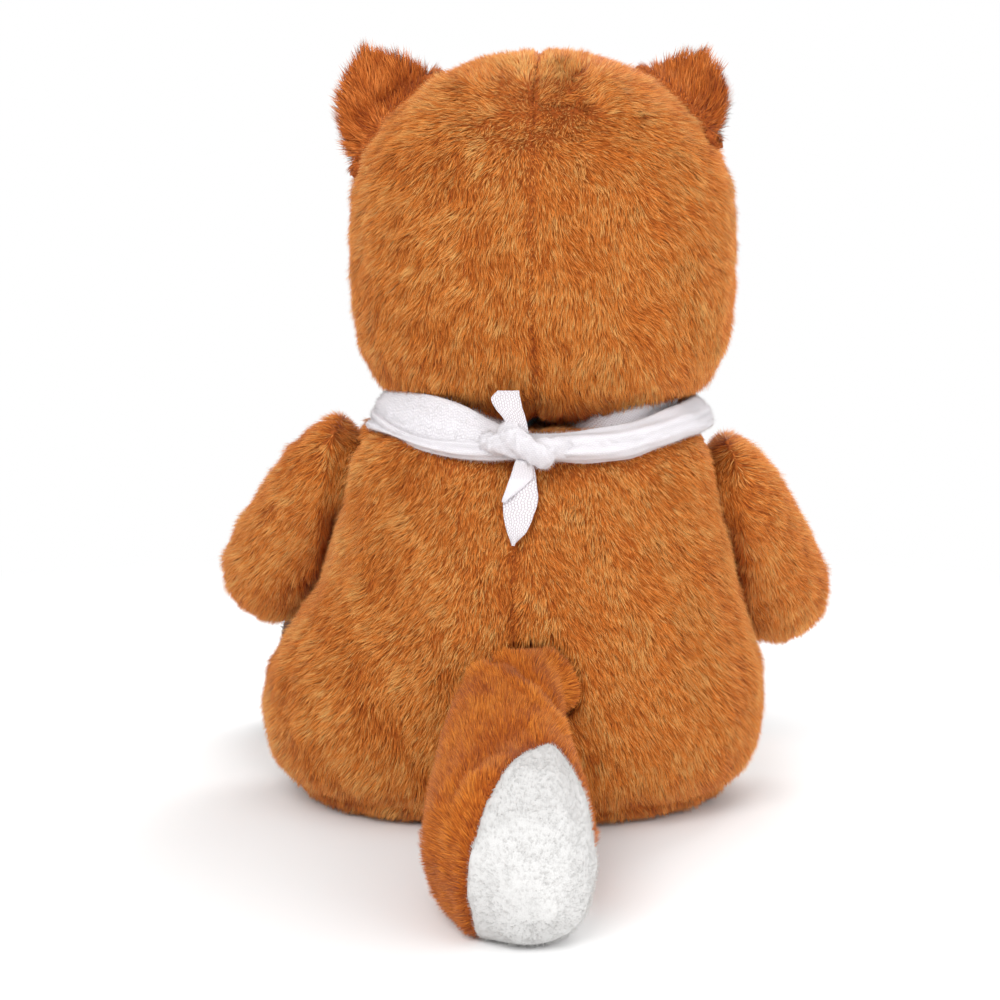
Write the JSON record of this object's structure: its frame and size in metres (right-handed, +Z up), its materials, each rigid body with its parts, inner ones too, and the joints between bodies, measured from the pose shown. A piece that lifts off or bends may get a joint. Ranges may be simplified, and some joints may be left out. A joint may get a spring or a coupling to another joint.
{
  "type": "plush fox",
  "caption": "Sitting stuffed fox with sewn pile covers, swivelling head, swinging arms and legs, a wagging tail and a cloth tied round its neck.",
  "frame": {"origin": "middle of the flat seat under the body, on the surface the toy sits on", "axes": "+Z up, the face looks along -Y, the tail and the knot are at +Y, the toy's left is +X"},
  "size_m": [0.25, 0.3544, 0.2888],
  "materials": {
    "orange_plush": "short brushed pile",
    "white_plush": "short brushed pile",
    "dark_plush": "short brushed pile",
    "ear_plush": "short brushed pile",
    "white_cloth": "brushed warp knit",
    "fibre_fill": "loose polyester fibre",
    "bag_cloth": "plain woven",
    "black_gloss": "polished",
    "washer_plastic": "moulded",
    "mouth_thread": "embroidery floss"
  },
  "bodies": {
    "torso": {"seat_panel": "orange_plush", "body_back_left": "orange_plush", "body_back_right": "orange_plush", "belly_panel": "white_plush", "body_stuffing": "fibre_fill", "pellet_bag": "bag_cloth", "neckerchief": "white_cloth"},
    "head": {"head_back_left": "orange_plush", "head_back_right": "orange_plush", "forehead_panel": "orange_plush", "cheek_left": "white_plush", "cheek_right": "white_plush", "head_stuffing": "fibre_fill", "muzzle_cover": "white_plush", "muzzle_stuffing": "fibre_fill", "nose": "black_gloss", "nose_washer": "washer_plastic", "mouth_stitch": "mouth_thread", "eye_left": "black_gloss", "eye_washer_left": "washer_plastic", "ear_back_left": "ear_plush", "ear_lining_left": "white_plush", "eye_right": "black_gloss", "eye_washer_right": "washer_plastic", "ear_back_right": "ear_plush", "ear_lining_right": "white_plush"},
    "arm_left": {"arm_cover_left": "orange_plush", "arm_stuffing_left": "fibre_fill"},
    "arm_right": {"arm_cover_right": "orange_plush", "arm_stuffing_right": "fibre_fill"},
    "leg_left": {"leg_cover_left": "orange_plush", "foot_cover_left": "dark_plush", "sole_pad_left": "dark_plush", "leg_stuffing_left": "fibre_fill"},
    "leg_right": {"leg_cover_right": "orange_plush", "foot_cover_right": "dark_plush", "sole_pad_right": "dark_plush", "leg_stuffing_right": "fibre_fill"},
    "tail": {"tail_cover": "orange_plush", "tail_tip": "white_plush", "tail_stuffing": "fibre_fill"}
  },
  "joints": [
    {"name": "neck_turn", "type": "hinge", "parent": "torso", "child": "head", "pos_m": [-0.012, -0.005, 0.147], "axis": [0.0087, 0, 1], "range_deg": [-30, 30], "stiffness_Nm_per_rad": 0.25},
    {"name": "shoulder_left", "type": "hinge", "parent": "torso", "child": "arm_left", "pos_m": [0.06361, -0.008, 0.125], "axis": [1, 0, 0], "range_deg": [-70, 8], "stiffness_Nm_per_rad": 0.06},
    {"name": "shoulder_right", "type": "hinge", "parent": "torso", "child": "arm_right", "pos_m": [-0.07874, -0.008, 0.118], "axis": [1, 0, 0], "range_deg": [-70, 8], "stiffness_Nm_per_rad": 0.06},
    {"name": "hip_left", "type": "hinge", "parent": "torso", "child": "leg_left", "pos_m": [0.063, -0.062, 0.0267], "axis": [1, 0, 0], "range_deg": [-25, 20], "stiffness_Nm_per_rad": 0.1},
    {"name": "hip_right", "type": "hinge", "parent": "torso", "child": "leg_right", "pos_m": [-0.063, -0.062, 0.0267], "axis": [1, 0, 0], "range_deg": [-25, 20], "stiffness_Nm_per_rad": 0.1},
    {"name": "tail_wag", "type": "hinge", "parent": "torso", "child": "tail", "pos_m": [-0.008, 0.07387, 0.057], "axis": [0, 0, 1], "range_deg": [-25, 25], "stiffness_Nm_per_rad": 0.06}
  ]
}
